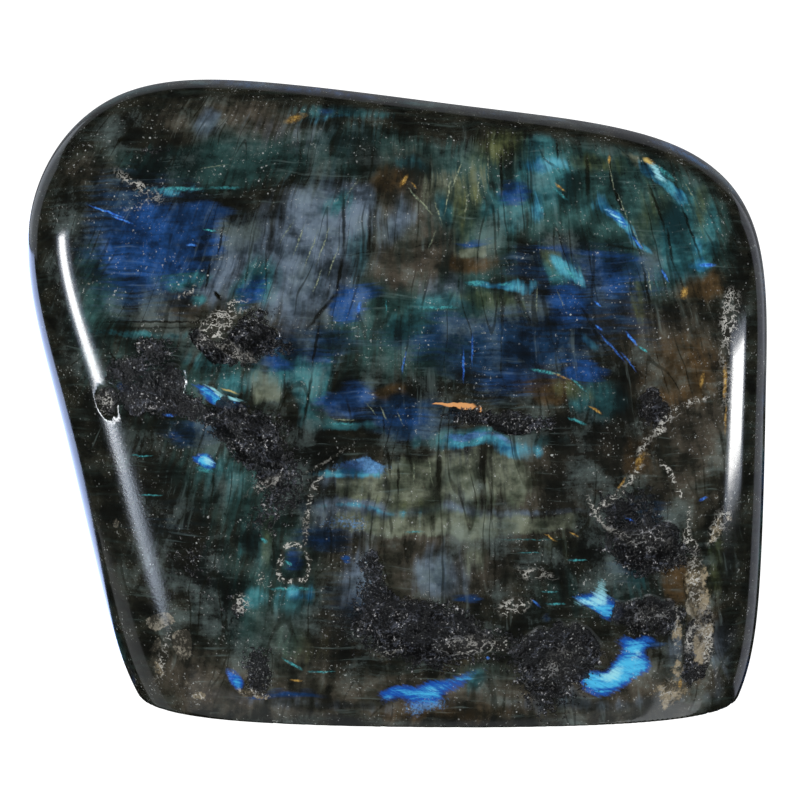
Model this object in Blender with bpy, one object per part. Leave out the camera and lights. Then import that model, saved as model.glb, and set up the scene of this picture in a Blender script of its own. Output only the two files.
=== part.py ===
"""A polished labradorite freeform: one hand-ground stone that stands on a flat cut foot.

The stone is a rounded slab. Its rim is a closed curve in the upright XZ plane, and the front and back swell
out from that rim as flattened domes. The front looks along -Y, Z is up, and the foot is cut flat at Z = 0.
Pockets of soft black mineral lie below the polish as shallow hollows with lumpy floors.
"""

import math

import bmesh
import bpy
import numpy as np

MM = 0.001

# The rim, in mm: the corners of a smooth closed curve, from the upper left clockwise as the front is seen.
# The lowest four lie below the foot, because the cut goes through the round body.
RIM_MM = (
    (-46.5, 97.5),
    (-20.0, 96.8),
    (12.0, 92.2),
    (41.5, 89.2),
    (57.2, 77.8),
    (57.0, 50.0),
    (57.2, 20.0),
    (55.0, -9.0),
    (24.0, -20.0),
    (-12.0, -20.0),
    (-41.0, -9.0),
    (-47.5, 18.0),
    (-53.2, 47.0),
    (-61.2, 76.0),
)
MIDDLE_MM = (1.0, 44.0)  # where the front and the back bulge most
USUAL_REACH = 55.0 * MM  # a middling distance from there to the rim
HEIGHT = 97.0 * MM
FOOT_HALF_DEPTH = 23.0 * MM
TOP_HALF_DEPTH = 16.0 * MM
LEAN_BACK = 5.0 * MM  # how far the rim's plane has gone back at the top
# A dome's fullness: 2 is an ellipse, and more is a flatter face with tighter edges.
FRONT_FULLNESS = 2.75
FULLER_BY = 0.35  # how much fuller the front is towards its upper right, and leaner towards its lower left
FULLEST_AT = math.radians(55.0)
BACK_FULLNESS = 2.5
LOWEST_SHARE = -0.3  # of HEIGHT, where the depth stops changing below the cut
HIGHEST_SHARE = 1.05
WAVE_DEPTH = 0.18 * MM  # the slight waves of hand grinding

# Pockets are placed by how far right and how far up the face they lie, in mm, in a plane that leans back.
FACE_LEAN = math.radians(14.0)
# name, right, up, half length, half width, turn in degrees, depth
POCKETS_MM = (
    ("ridge_pocket", -23.2, 54.8, 4.6, 2.4, 16, 1.7),
    ("ridge_groove", -29.0, 53.6, 4.4, 1.2, -32, 1.1),
    ("edge_pit", -44.8, 45.5, 2.4, 1.5, 80, 1.3),
    ("left_mica", -37.6, 47.4, 6.4, 3.4, 22, 1.0),
    ("slanting_mica", -22.4, 39.6, 9.4, 3.4, -50, 1.1),
    ("lower_mica", 4.0, 10.6, 10.8, 4.3, -10, 1.3),
    ("foot_mica", 24.4, 6.6, 7.2, 5.6, 15, 1.0),
    ("right_mica", 37.2, 24.2, 6.4, 3.2, 18, 1.0),
    ("corner_mica", 37.4, 13.4, 6.2, 2.6, 4, 0.8),
    ("upper_pit", 38.8, 44.6, 3.2, 2.2, -60, 1.0),
    ("short_groove", 17.0, 42.4, 5.6, 1.4, -4, 0.8),
    ("vein_hollow", 46.0, 7.8, 7.0, 2.6, 82, 0.9),
)
# The same for the back, where right is still +X.
BACK_POCKETS_MM = (
    ("back_mica", -14.0, 58.0, 8.5, 3.6, 28, 1.2),
    ("back_low_mica", 22.0, 26.0, 7.0, 4.0, -35, 1.1),
    ("back_pit", -34.0, 24.0, 3.4, 2.0, 60, 1.0),
)
LUMP_SIZE = 2.6 * MM
LUMP_SHARE = 0.35  # how much of a pocket's depth its lumps take up
LUMP_SEED = 4
LATTICE = 16  # random numbers a side, before the lumps repeat
POCKET_EDGE = 1.1  # where a pocket starts, as the square of a share of its half width
POCKET_STEEPNESS = 1.8

SIDES = 112
RINGS = 48
PROFILE_STEPS = 400
SHARP_ANGLE = math.radians(40.0)
FRONT_SHARE = 0.66  # of the rings, so that the pockets of the front are well resolved
SNAP = 0.35 * MM  # points this near the cut are put on it, so that it leaves no slivers

STONE_COLOUR = (0.030, 0.042, 0.045, 1.0)
STONE_ROUGHNESS = 0.12


def rim_point(turn):
    """X and Z of the rim at turn, a share of the way round: a uniform cubic B-spline on the rim's corners."""
    corners = np.array(RIM_MM) * MM
    place = (turn % 1.0) * len(corners)
    span = np.floor(place).astype(int)
    t = (place - span)[:, None]
    before, start, end, after = (corners[(span + step) % len(corners)] for step in (-1, 0, 1, 2))
    return (
        (1 - t) ** 3 * before
        + (3 * t**3 - 6 * t**2 + 4) * start
        + (-3 * t**3 + 3 * t**2 + 3 * t + 1) * end
        + t**3 * after
    ) / 6


def dome_reach(share):
    """How far out from the middle, 0 to 1, a dome's profile is at an even share of its length."""
    angle = np.linspace(0, math.pi / 2, PROFILE_STEPS)
    out = np.sin(angle) ** (2 / FRONT_FULLNESS)
    up = np.cos(angle) ** (2 / FRONT_FULLNESS)
    steps = np.hypot(np.diff(out) * USUAL_REACH, np.diff(up) * FOOT_HALF_DEPTH)
    length = np.concatenate([[0], np.cumsum(steps)])
    return np.interp(share * length[-1], length, out)


def lumps(points):
    """Smooth random lumps from -1 to 1: a lattice of seeded random numbers, eased between its corners."""
    lattice = np.random.default_rng(LUMP_SEED).random((LATTICE, LATTICE, LATTICE)) * 2 - 1
    place = points / LUMP_SIZE
    cell = np.floor(place).astype(int)
    ease = place - cell
    ease = ease * ease * (3 - 2 * ease)
    total = np.zeros(len(points))
    for corner in np.ndindex(2, 2, 2):
        weight = np.prod(np.where(corner, ease, 1 - ease), axis=1)
        at = (cell + corner) % LATTICE
        total += weight * lattice[at[:, 0], at[:, 1], at[:, 2]]
    return total


def pocket_depth(points, pockets):
    """How deep the pockets are at each point: an ellipse on the face with a dished, lumpy floor."""
    right = points[:, 0]
    up = points[:, 2] * math.cos(FACE_LEAN) + points[:, 1] * math.sin(FACE_LEAN)
    depth = np.zeros(len(points))
    for _name, middle, height, half_length, half_width, degrees, deep in pockets:
        turn = math.radians(degrees)
        across = right - middle * MM
        above = up - height * MM
        along = (across * math.cos(turn) + above * math.sin(turn)) / (half_length * MM)
        aside = (above * math.cos(turn) - across * math.sin(turn)) / (half_width * MM)
        dish = np.clip(POCKET_STEEPNESS * (POCKET_EDGE - along**2 - aside**2), 0, 1)
        depth = np.maximum(depth, deep * MM * dish * dish * (3 - 2 * dish))
    return depth * (1 - LUMP_SHARE + LUMP_SHARE * lumps(points))


def grinding_waves(x, z):
    """Long shallow waves that hand grinding leaves, from -1 to 1."""
    return 0.5 * np.sin(x / (11 * MM) + z / (17 * MM)) + 0.5 * np.sin(z / (9 * MM) - x / (23 * MM) + 1.3)


def stone_surface(turn, share):
    """Points of the body: turn goes round the rim, and share from the front's middle, 0, to the back's, 1.

    A point's reach towards the rim sets its depth, half the thickness times (1 - reach**n)**(1/n), where n
    is the fullness.
    """
    front = share < FRONT_SHARE
    way_out = np.where(front, share / FRONT_SHARE, (1 - share) / (1 - FRONT_SHARE))
    reach = dome_reach(way_out)
    middle = np.array(MIDDLE_MM) * MM
    outward = rim_point(turn) - middle
    x, z = (middle + reach[:, None] * outward).T
    fuller = FULLER_BY * np.cos(np.arctan2(outward[:, 1], outward[:, 0]) - FULLEST_AT)
    fullness = np.where(front, FRONT_FULLNESS + fuller, BACK_FULLNESS)
    height = np.clip(z / HEIGHT, LOWEST_SHARE, HIGHEST_SHARE)
    half_depth = FOOT_HALF_DEPTH + (TOP_HALF_DEPTH - FOOT_HALF_DEPTH) * height
    half_depth = half_depth + WAVE_DEPTH * grinding_waves(x, z)
    dome = np.maximum(1 - reach**fullness, 0) ** (1 / fullness)
    side = np.where(front, -1.0, 1.0)
    y = LEAN_BACK * height + side * half_depth * dome
    points = np.stack([x, y, z], axis=1)
    sunk = np.where(front, pocket_depth(points, POCKETS_MM), pocket_depth(points, BACK_POCKETS_MM))
    points[:, 1] -= side * sunk * dome
    return points


def cut_foot(bm):
    """Cuts the body off flat at Z = 0 and closes the cut."""
    for vertex in bm.verts:
        if abs(vertex.co.z) < SNAP:
            vertex.co.z = 0
    body = bm.verts[:] + bm.edges[:] + bm.faces[:]
    cut = bmesh.ops.bisect_plane(bm, geom=body, plane_co=(0, 0, 0), plane_no=(0, 0, 1), clear_inner=True)
    rim_edges = [piece for piece in cut["geom_cut"] if isinstance(piece, bmesh.types.BMEdge)]
    bmesh.ops.contextual_create(bm, geom=rim_edges)


def centre_on_foot(bm):
    """Moves the body so that its box stands with the middle of its underside on the origin."""
    places = np.array([vertex.co for vertex in bm.verts])
    middle = (places.min(axis=0) + places.max(axis=0)) / 2
    bmesh.ops.translate(bm, vec=(-middle[0], -middle[1], 0), verts=bm.verts)


def polished_stone():
    material = bpy.data.materials.new("polished_labradorite")
    material.use_nodes = True
    shader = material.node_tree.nodes["Principled BSDF"]
    shader.inputs["Base Color"].default_value = STONE_COLOUR
    shader.inputs["Roughness"].default_value = STONE_ROUGHNESS
    shader.inputs["Metallic"].default_value = 0.0
    return material


def build_stone(collection):
    """Shapes a sphere's rings into the stone. Its poles are the middles of the front and the back."""
    bm = bmesh.new()
    bmesh.ops.create_uvsphere(bm, u_segments=SIDES, v_segments=RINGS, radius=1.0)
    ball = np.array([vertex.co for vertex in bm.verts])
    turn = np.arctan2(ball[:, 1], ball[:, 0]) / (2 * math.pi)
    share = np.arccos(np.clip(-ball[:, 2], -1, 1)) / math.pi
    for vertex, place in zip(bm.verts, stone_surface(turn, share)):
        vertex.co = place
    cut_foot(bm)
    centre_on_foot(bm)
    bmesh.ops.recalc_face_normals(bm, faces=bm.faces)
    mesh = bpy.data.meshes.new("labradorite_freeform")
    bm.to_mesh(mesh)
    bm.free()
    mesh.shade_smooth()
    mesh.set_sharp_from_angle(angle=SHARP_ANGLE)
    mesh.materials.append(polished_stone())
    stone = bpy.data.objects.new("labradorite_freeform", mesh)
    collection.objects.link(stone)
    return stone


def main():
    for existing in list(bpy.data.objects):
        bpy.data.objects.remove(existing)
    collection = bpy.data.collections.new("Polished labradorite")
    bpy.context.scene.collection.children.link(collection)
    build_stone(collection)


main()
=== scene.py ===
"""The looks of a polished labradorite freeform: its fine surface, its polish and the colours inside it.

The stone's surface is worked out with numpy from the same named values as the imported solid. Its colours
are laid out on the polished face as the photograph shows them, in a frame of 800 by 800 units, 6.6 of them
to a millimetre, with across to the right and down downwards. The sides and the back go on with the same
stone.
"""

import math
from types import SimpleNamespace

import bpy
import numpy as np
from mathutils import Matrix, Vector


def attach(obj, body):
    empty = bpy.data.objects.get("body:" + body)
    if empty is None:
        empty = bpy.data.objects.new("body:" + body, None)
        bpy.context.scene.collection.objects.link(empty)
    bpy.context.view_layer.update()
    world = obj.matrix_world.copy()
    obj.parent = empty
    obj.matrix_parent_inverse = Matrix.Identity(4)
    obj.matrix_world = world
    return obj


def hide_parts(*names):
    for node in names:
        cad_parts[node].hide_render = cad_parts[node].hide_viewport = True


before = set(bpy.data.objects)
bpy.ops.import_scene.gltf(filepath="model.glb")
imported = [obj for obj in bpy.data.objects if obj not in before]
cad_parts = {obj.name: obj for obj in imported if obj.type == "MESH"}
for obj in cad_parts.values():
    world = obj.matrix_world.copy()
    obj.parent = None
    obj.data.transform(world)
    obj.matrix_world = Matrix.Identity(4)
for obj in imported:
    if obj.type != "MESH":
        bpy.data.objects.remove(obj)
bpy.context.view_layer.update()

MM = 0.001
NODE = "labradorite_freeform"
SLOT = "polished_labradorite"

# The body, in mm. The rim's corners go from the upper left clockwise as the front is seen.
RIM_MM = (
    (-46.5, 97.5),
    (-20.0, 96.8),
    (12.0, 92.2),
    (41.5, 89.2),
    (57.2, 77.8),
    (57.0, 50.0),
    (57.2, 20.0),
    (55.0, -9.0),
    (24.0, -20.0),
    (-12.0, -20.0),
    (-41.0, -9.0),
    (-47.5, 18.0),
    (-53.2, 47.0),
    (-61.2, 76.0),
)
MIDDLE_MM = (1.0, 44.0)
USUAL_REACH = 55.0
HEIGHT = 97.0
FOOT_HALF_DEPTH = 23.0
TOP_HALF_DEPTH = 16.0
LEAN_BACK = 5.0
LOWEST_SHARE = -0.3
HIGHEST_SHARE = 1.05
FRONT_FULLNESS = 2.75
FULLER_BY = 0.35
FULLEST_AT = math.radians(55.0)
BACK_FULLNESS = 2.5
WAVE_DEPTH = 0.18
FACE_LEAN = math.radians(14.0)

# Pockets: right and up on the leaning face, half length, half width, turn in degrees, depth, all in mm.
POCKETS_MM = (
    (-23.2, 54.8, 4.6, 2.4, 16, 1.7),
    (-29.0, 53.6, 4.4, 1.2, -32, 1.1),
    (-44.8, 45.5, 2.4, 1.5, 80, 1.3),
    (-37.6, 47.4, 6.4, 3.4, 22, 1.0),
    (-22.4, 39.6, 9.4, 3.4, -50, 1.1),
    (4.0, 10.6, 10.8, 4.3, -10, 1.3),
    (24.4, 6.6, 7.2, 5.6, 15, 1.0),
    (37.2, 24.2, 6.4, 3.2, 18, 1.0),
    (37.4, 13.4, 6.2, 2.6, 4, 0.8),
    (38.8, 44.6, 3.2, 2.2, -60, 1.0),
    (17.0, 42.4, 5.6, 1.4, -4, 0.8),
    (46.0, 7.8, 7.0, 2.6, 82, 0.9),
)
BACK_POCKETS_MM = (
    (-14.0, 58.0, 8.5, 3.6, 28, 1.2),
    (22.0, 26.0, 7.0, 4.0, -35, 1.1),
    (-34.0, 24.0, 3.4, 2.0, 60, 1.0),
)
POCKET_EDGE = 1.1
POCKET_STEEPNESS = 1.8
LATTICE = 16  # random numbers a side, before lumps repeat
LUMP_SIZE = 2.6
LUMP_SEED = 4
LUMP_SHARE = 0.35
CRUMBS = ((1.25, 0.30, 11), (0.7, 0.2, 12))  # finer lumps in the front's pockets: size, share of depth, seed
POCKET_RAGGED = 0.9  # how far the edges of the front's pockets wander
RAGGED_LUMPS = ((1.9, 7), (1.5, 8))  # the lumps they wander by, across and up the face: size, seed

SIDES = 570
FRONT_RINGS = 128
BACK_RINGS = 46
FRONT_SHARE = 0.66  # how much of the way from the front's middle to the back's is front
PROFILE_STEPS = 400
ARRIS = 0.45  # half the width of the rounding between the body and the foot
ARRIS_CHIP = 0.9  # how much more it is where the arris is nicked
CHIP_LUMPS = ((2.1, 21), (0.8, 22))  # the lumps that place the nicks: size, seed
CHIP_CONTRAST = 3

# The camera and the frame of the pattern on the face
VIEW_DISTANCE = 520.0
VIEW_TARGET_UP = 47.3
UNITS_PER_MM = 6.6
FRAME_MIDDLE = 400.0
FRAME_MIDDLE_UP = 45.9
WANDER = ((6.5, 9.0, 31), (2.4, 4.0, 33))  # lumps in mm, reach in units, seed
FAN_ACROSS = 460.0  # the fibres fan out from a point above the frame
FAN_ABOVE = 500.0
FAN_SCALE = 750.0  # how far below that point they have their stated width
LENS = 150.0
SENSOR = 36.0

# The studio
FLOOR_HALF = 4.0  # half the floor's width in metres
FLOOR_GAP = 0.3 * MM  # how far it lies below the foot
AIM_UP = 45.0  # the height in mm that the panels face


def rim_point(turn):
    """X and Z of the rim at turn, a share of the way round: a uniform cubic B-spline on the rim's corners."""
    corners = np.array(RIM_MM)
    place = (turn % 1.0) * len(corners)
    span = np.floor(place).astype(int)
    t = (place - span)[..., None]
    before, start, end, after = (corners[(span + step) % len(corners)] for step in (-1, 0, 1, 2))
    return (
        (1 - t) ** 3 * before
        + (3 * t**3 - 6 * t**2 + 4) * start
        + (-3 * t**3 + 3 * t**2 + 3 * t + 1) * end
        + t**3 * after
    ) / 6


def dome_reach(share):
    """How far out from the middle, 0 to 1, a dome's profile is at an even share of its length."""
    angle = np.linspace(0, math.pi / 2, PROFILE_STEPS)
    out = np.sin(angle) ** (2 / FRONT_FULLNESS)
    up = np.cos(angle) ** (2 / FRONT_FULLNESS)
    steps = np.hypot(np.diff(out) * USUAL_REACH, np.diff(up) * FOOT_HALF_DEPTH)
    length = np.concatenate([[0], np.cumsum(steps)])
    return np.interp(share * length[-1], length, out)


def lumps(points, size, seed):
    """Smooth random lumps from -1 to 1: a lattice of seeded random numbers, eased between its corners."""
    lattice = np.random.default_rng(seed).random((LATTICE,) * 3) * 2 - 1
    place = points / size
    cell = np.floor(place).astype(int)
    ease = place - cell
    ease = ease * ease * (3 - 2 * ease)
    total = np.zeros(points.shape[:-1])
    for corner in np.ndindex(2, 2, 2):
        weight = np.prod(np.where(corner, ease, 1 - ease), axis=-1)
        at = (cell + corner) % LATTICE
        total += weight * lattice[at[..., 0], at[..., 1], at[..., 2]]
    return total


def pocket_dish(points, pockets, raggedness):
    """Depth and cover of the pockets: each is an ellipse on the face with a steep, ragged side."""
    ragged = raggedness * np.stack([lumps(points, size, seed) for size, seed in RAGGED_LUMPS])
    right = points[..., 0] + ragged[0]
    up = points[..., 2] * math.cos(FACE_LEAN) + points[..., 1] * math.sin(FACE_LEAN) + ragged[1]
    depth = np.zeros(points.shape[:-1])
    cover = np.zeros(points.shape[:-1])
    for middle, height, half_length, half_width, degrees, deep in pockets:
        turn = math.radians(degrees)
        across = right - middle
        above = up - height
        along = (across * math.cos(turn) + above * math.sin(turn)) / half_length
        aside = (above * math.cos(turn) - across * math.sin(turn)) / half_width
        dish = np.clip(POCKET_STEEPNESS * (POCKET_EDGE - along**2 - aside**2), 0, 1)
        dish = dish * dish * (3 - 2 * dish)
        depth = np.maximum(depth, deep * dish)
        cover = np.maximum(cover, dish)
    return depth, cover


def grinding_waves(x, z):
    """Long shallow waves that hand grinding leaves, from -1 to 1."""
    return 0.5 * np.sin(x / 11 + z / 17) + 0.5 * np.sin(z / 9 - x / 23 + 1.3)


def stone_surface(turn, share):
    """Points in mm and how far each is in a pocket, 0 to 1.

    turn goes round the rim, and share from the front's middle, 0, to the back's, 1. A point's depth is half
    the thickness times (1 - reach**n)**(1/n), where n is the fullness. Below the foot the body is pressed
    flat: within an arris of the foot's plane its height h becomes (h + arris)**2 / (4 arris), and below
    that 0.
    """
    front = share < FRONT_SHARE
    way_out = np.where(front, share / FRONT_SHARE, (1 - share) / (1 - FRONT_SHARE))
    reach = dome_reach(way_out)
    middle = np.array(MIDDLE_MM)
    outward = rim_point(turn) - middle
    flat = middle + reach[..., None] * outward
    x = flat[..., 0]
    z = flat[..., 1]
    fuller = FULLER_BY * np.cos(np.arctan2(outward[..., 1], outward[..., 0]) - FULLEST_AT)
    fullness = np.where(front, FRONT_FULLNESS + fuller, BACK_FULLNESS)
    height = np.clip(z / HEIGHT, LOWEST_SHARE, HIGHEST_SHARE)
    half_depth = FOOT_HALF_DEPTH + (TOP_HALF_DEPTH - FOOT_HALF_DEPTH) * height
    half_depth = half_depth + WAVE_DEPTH * grinding_waves(x, z)
    dome = np.maximum(1 - reach**fullness, 0) ** (1 / fullness)
    side = np.where(front, -1.0, 1.0)
    y = LEAN_BACK * height + side * half_depth * dome
    points = np.stack([x, y, z], axis=-1)
    front_depth, front_cover = pocket_dish(points, POCKETS_MM, POCKET_RAGGED)
    back_depth, back_cover = pocket_dish(points, BACK_POCKETS_MM, 0)
    sunk = np.where(front, front_depth, back_depth)
    cover = np.where(front, front_cover, back_cover)
    floor = 1 - LUMP_SHARE + LUMP_SHARE * lumps(points, LUMP_SIZE, LUMP_SEED)
    for size, part, seed in CRUMBS:
        floor = floor + np.where(front, part, 0) * lumps(points, size, seed)
    points[..., 1] -= side * sunk * floor * dome
    chips = CHIP_CONTRAST * np.prod([lumps(points, size, seed) for size, seed in CHIP_LUMPS], axis=0)
    arris = ARRIS + ARRIS_CHIP * np.clip(chips, 0, 1) ** 2
    z = points[..., 2]
    points[..., 2] = np.where(z > arris, z, np.where(z < -arris, 0, (z + arris) ** 2 / (4 * arris)))
    return points, cover


def face_place(points):
    """Across and down in the frame of 800 units, a little wandered.

    The points are in mm, before the stone is centred. Down is measured on a plane that leans back.
    """
    up = points[..., 2] * math.cos(FACE_LEAN) + points[..., 1] * math.sin(FACE_LEAN)
    across = FRAME_MIDDLE + UNITS_PER_MM * points[..., 0]
    down = FRAME_MIDDLE + UNITS_PER_MM * (FRAME_MIDDLE_UP - up)
    for size, reach, seed in WANDER:
        across = across + reach * lumps(points, size, seed)
        down = down + reach * lumps(points, size, seed + 1)
    return across, down


def covered(across, down, spots, squareness=2.0):
    """How much the spots cover each place, each adding a share of what the others leave.

    A spot's distance is (|along|**n + |aside|**n)**(1/n), in shares of its half sizes, where n is its
    squareness. It covers all at its middle and half at its edge.
    """
    left = np.ones_like(across)
    for middle, height, half_wide, half_high, degrees, strength in spots:
        turn = math.radians(degrees)
        right = across - middle
        low = down - height
        along = np.abs(right * math.cos(turn) + low * math.sin(turn)) / half_wide
        aside = np.abs(low * math.cos(turn) - right * math.sin(turn)) / half_high
        away = (along**squareness + aside**squareness) ** (1 / squareness)
        fade = np.clip(1 - away / 2, 0, 1)
        left = left * (1 - strength * fade * fade * (3 - 2 * fade))
    return 1 - left


def patch_fields(points):
    """How much each layer, mineral and flash covers each point, by name.

    The oval's edge covers 1.1 - 4.6 |distance - 1|, where its outline is at distance 1.
    """
    across, down = face_place(points)
    fields = {}
    for layer, _low, _high, _texture, _soft, squareness, spots in LAYERS:
        fields[layer] = covered(across, down, spots, squareness)
    for name, spots in PATCHES.items():
        fields[name] = covered(across, down, spots)
    middle, height, half_wide, half_high = OVAL
    distance = np.hypot((across - middle) / half_wide, (down - height) / half_high)
    oval_edge = np.clip(1.1 - 4.6 * np.abs(distance - 1), 0, 1)
    fields["seams"] = np.maximum(covered(across, down, SEAMS), oval_edge)
    fields["flakes"] = covered(across, down, FLAKES, FLAKE_SQUARENESS)
    return fields


def ring_faces(rings):
    """The faces' corners and how many each has: quads between the rings, and a fan at each middle."""
    ring, side = np.meshgrid(np.arange(rings - 1) * SIDES, np.arange(SIDES), indexing="ij")
    beside = (side + 1) % SIDES
    quads = np.stack([ring + side, ring + beside, ring + SIDES + beside, ring + SIDES + side], axis=-1)
    around = np.arange(SIDES)
    after = (around + 1) % SIDES
    last = (rings - 1) * SIDES
    front_middle = np.full(SIDES, rings * SIDES)
    front_fan = np.stack([after, around, front_middle], axis=-1)
    back_fan = np.stack([last + around, last + after, front_middle + 1], axis=-1)
    corners = np.concatenate([quads.ravel(), front_fan.ravel(), back_fan.ravel()])
    counts = np.concatenate([np.full((rings - 1) * SIDES, 4), np.full(2 * SIDES, 3)])
    return corners, counts


def stone_mesh(name):
    """The stone as one closed mesh: rings of points round it, with a single point at each middle.

    It also gives how far in mm the points were moved to stand the middle of the underside on the origin.
    """
    front_shares = np.linspace(0, FRONT_SHARE, FRONT_RINGS, endpoint=False)
    shares = np.concatenate([front_shares, np.linspace(FRONT_SHARE, 1, BACK_RINGS)])
    share, turn = np.meshgrid(shares[1:-1], np.arange(SIDES) / SIDES, indexing="ij")
    points, cover = stone_surface(turn, share)
    middles, middles_cover = stone_surface(np.zeros(2), np.array([0.0, 1.0]))
    points = np.concatenate([points.reshape(-1, 3), middles])
    fields = {"pocket": np.concatenate([cover.ravel(), middles_cover])} | patch_fields(points)
    shift = -(points.min(axis=0) + points.max(axis=0)) / 2 * (1, 1, 0)
    points = (points + shift) * MM
    corners, counts = ring_faces(len(shares) - 2)
    mesh = bpy.data.meshes.new(name)
    mesh.vertices.add(len(points))
    mesh.vertices.foreach_set("co", points.ravel())
    mesh.loops.add(len(corners))
    mesh.loops.foreach_set("vertex_index", corners)
    mesh.polygons.add(len(counts))
    mesh.polygons.foreach_set("loop_start", np.concatenate([[0], np.cumsum(counts)[:-1]]))
    mesh.update(calc_edges=True)
    mesh.validate()
    mesh.shade_smooth()
    for field, values in fields.items():
        mesh.attributes.new(field, "FLOAT", "POINT").data.foreach_set("value", values)
    return mesh, shift


class Wire:
    """An output of a node. Arithmetic on it adds Math nodes to its material."""

    def __init__(self, finish, socket):
        self.finish = finish
        self.socket = socket

    def maths(self, operation, *values):
        """A Math node on these wires and numbers."""
        return self.finish.node("ShaderNodeMath", {"operation": operation}, dict(enumerate(values)))

    def __add__(self, other):
        return self.maths("ADD", self, other)

    def __sub__(self, other):
        return self.maths("SUBTRACT", self, other)

    def __rsub__(self, other):
        return self.maths("SUBTRACT", other, self)

    def __mul__(self, other):
        return self.maths("MULTIPLY", self, other)

    def __truediv__(self, other):
        return self.maths("DIVIDE", self, other)

    def larger(self, other):
        return self.maths("MAXIMUM", self, other)

    def smaller(self, other):
        return self.maths("MINIMUM", self, other)

    __radd__ = __add__
    __rmul__ = __mul__


class Finish:
    """One material and the nodes in it."""

    def __init__(self, name):
        self.material = bpy.data.materials.new(name)
        self.material.use_nodes = True
        self.tree = self.material.node_tree
        self.tree.nodes.clear()

    def node(self, kind, settings=None, sockets=None, out=0):
        """Adds a node: its settings first, then the values or links of its sockets. Returns one output."""
        made = self.tree.nodes.new(kind)
        for name, value in (settings or {}).items():
            setattr(made, name, value)
        for key, value in (sockets or {}).items():
            if isinstance(value, Wire):
                self.tree.links.new(value.socket, made.inputs[key])
            else:
                made.inputs[key].default_value = value
        return Wire(self, made.outputs[out]) if len(made.outputs) else None

    def vector(self, operation, *values, out=0):
        """A Vector Math node on these vectors."""
        return self.node("ShaderNodeVectorMath", {"operation": operation}, dict(enumerate(values)), out)

    def parts(self, vector):
        """The three parts of a vector or a colour."""
        first = self.node("ShaderNodeSeparateXYZ", {}, {0: vector})
        return [Wire(self, socket) for socket in first.socket.node.outputs]

    def field(self, name):
        """A value that the mesh carries at its points."""
        return self.node("ShaderNodeAttribute", {"attribute_name": name}, out="Fac")

    def turned(self, vector, degrees):
        """The place as read on axes that are turned clockwise on the face."""
        turn = math.radians(degrees)
        along = self.vector("DOT_PRODUCT", vector, (math.cos(turn), math.sin(turn), 0), out="Value")
        aside = self.vector("DOT_PRODUCT", vector, (-math.sin(turn), math.cos(turn), 0), out="Value")
        return self.node("ShaderNodeCombineXYZ", {}, {0: along, 1: aside})

    def noise(self, vector, stretch, detail=2.0, rough=0.5, out=0):
        """Noise whose lumps are as large as stretch says along each axis."""
        scaled = self.vector("DIVIDE", vector, stretch)
        values = {"Vector": scaled, "Scale": 1.0, "Detail": detail, "Roughness": rough}
        return self.node("ShaderNodeTexNoise", {"noise_dimensions": "3D"}, values, out)

    def spread(self, value, low, high, to_low=0.0, to_high=1.0, way="SMOOTHSTEP"):
        """Carries the range low to high onto the range to_low to to_high."""
        values = {0: value, 1: low, 2: high, 3: to_low, 4: to_high}
        return self.node("ShaderNodeMapRange", {"interpolation_type": way}, values)

    def mix(self, factor, low, high):
        """The low colour, carried towards the high one by the factor."""
        settings = {"data_type": "RGBA", "blend_type": "MIX"}
        return self.node("ShaderNodeMix", settings, {0: factor, 6: low, 7: high}, out=2)


def shade(red, green, blue):
    """A display colour, 0 to 255, as the linear colour that shows it under the light of this scene."""
    parts = np.array((red, green, blue)) / 255
    linear = np.where(parts > 0.04045, ((parts + 0.055) / 1.055) ** 2.4, parts / 12.92)
    return tuple(np.minimum(linear / LIGHT_LEVEL, 0.95)) + (1.0,)


LIGHT_LEVEL = 1.2  # how bright a white surface of the stone would show
TURN_STEP = 10  # the turns of fine marks come in steps of this many degrees
STRENGTH_STEP = 0.2  # and their strengths in steps of this much
RAGGED = 0.7  # how far a texture moves the edges of a layer

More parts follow.
